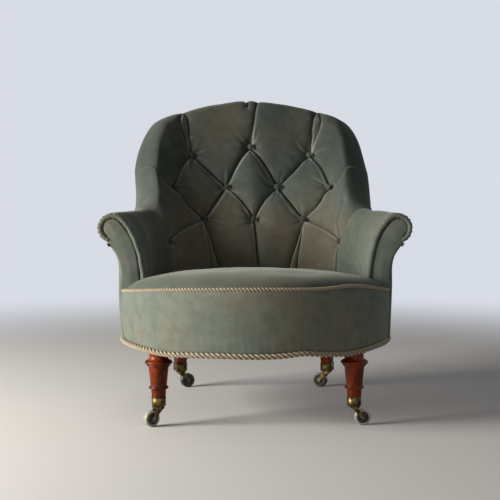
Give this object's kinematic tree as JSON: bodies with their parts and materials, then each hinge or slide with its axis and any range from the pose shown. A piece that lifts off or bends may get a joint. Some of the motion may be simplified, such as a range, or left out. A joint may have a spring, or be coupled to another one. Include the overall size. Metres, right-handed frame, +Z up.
{
  "type": "tub chair",
  "caption": "Button-back tub chair with scroll arms, a domed round seat, turned front legs, raked rear legs and castors.",
  "frame": {"origin": "centre of the chair's footprint box on the floor", "axes": "+X to the right as seen from in front, -Y the front of the seat, +Z up"},
  "size_m": [0.7562, 0.7387, 0.77],
  "materials": {
    "velvet": "worn cotton velvet, faded sage green",
    "gold_cord": "twisted gold cord",
    "gold_braid": "woven gold braid",
    "mahogany": "french polished",
    "frame_wood": "sawn beech, unfinished",
    "brass": "aged cast brass",
    "ceramic": "glazed",
    "steel": "plain",
    "webbing": "woven jute",
    "canvas": "coarse woven hessian",
    "dust_cloth": "black cotton cloth"
  },
  "bodies": {
    "chair": {"seat_rail_front": "frame_wood", "seat_rail_back": "frame_wood", "seat_rail_left": "frame_wood", "seat_rail_right": "frame_wood", "corner_blocks": "frame_wood", "seat_webbing": "webbing", "spring_canvas": "canvas", "bottom_cloth": "dust_cloth", "seat_cushion": "velvet", "seat_apron": "velvet", "seat_piping": "gold_cord", "rope_trim": "gold_cord", "arm_post_left": "frame_wood", "arm_post_right": "frame_wood", "back_upright_left": "frame_wood", "back_upright_right": "frame_wood", "arm_rail_left": "frame_wood", "arm_rail_right": "frame_wood", "crest_rail": "frame_wood", "tufted_stuffing": "velvet", "tuft_buttons": "velvet", "arm_facing_left": "velvet", "arm_facing_right": "velvet", "outside_arm_left": "velvet", "outside_arm_right": "velvet", "outside_back": "velvet", "gimp": "gold_braid", "front_legs": "mahogany", "rear_legs": "mahogany", "castor_cups": "brass"},
    "horn_front_left": {"castor_horn_front_left": "brass", "castor_axle_front_left": "steel"},
    "wheel_front_left": {"castor_wheel_front_left": "ceramic"},
    "horn_front_right": {"castor_horn_front_right": "brass", "castor_axle_front_right": "steel"},
    "wheel_front_right": {"castor_wheel_front_right": "ceramic"},
    "horn_rear_left": {"castor_horn_rear_left": "brass", "castor_axle_rear_left": "steel"},
    "wheel_rear_left": {"castor_wheel_rear_left": "ceramic"},
    "horn_rear_right": {"castor_horn_rear_right": "brass", "castor_axle_rear_right": "steel"},
    "wheel_rear_right": {"castor_wheel_rear_right": "ceramic"}
  },
  "joints": [
    {"name": "front_left_swivel", "type": "hinge", "parent": "chair", "child": "horn_front_left", "pos_m": [-0.227, -0.2397, 0.0475], "axis": [0, 0, 1], "continuous": true},
    {"name": "front_left_roll", "type": "hinge", "parent": "horn_front_left", "child": "wheel_front_left", "pos_m": [-0.24338, -0.25117, 0.019], "axis": [0.5736, -0.8192, 0], "continuous": true},
    {"name": "front_right_swivel", "type": "hinge", "parent": "chair", "child": "horn_front_right", "pos_m": [0.227, -0.2397, 0.0475], "axis": [0, 0, 1], "continuous": true},
    {"name": "front_right_roll", "type": "hinge", "parent": "horn_front_right", "child": "wheel_front_right", "pos_m": [0.24692, -0.23796, 0.019], "axis": [-0.0872, 0.9962, 0], "continuous": true},
    {"name": "rear_left_swivel", "type": "hinge", "parent": "chair", "child": "horn_rear_left", "pos_m": [-0.199, 0.23997, 0.0475], "axis": [0, 0, 1], "continuous": true},
    {"name": "rear_left_roll", "type": "hinge", "parent": "horn_rear_left", "child": "wheel_rear_left", "pos_m": [-0.18021, 0.24681, 0.019], "axis": [-0.342, 0.9397, 0], "continuous": true},
    {"name": "rear_right_swivel", "type": "hinge", "parent": "chair", "child": "horn_rear_right", "pos_m": [0.199, 0.23997, 0.0475], "axis": [0, 0, 1], "continuous": true},
    {"name": "rear_right_roll", "type": "hinge", "parent": "horn_rear_right", "child": "wheel_rear_right", "pos_m": [0.18168, 0.24997, 0.019], "axis": [-0.5, -0.866, 0], "continuous": true}
  ]
}
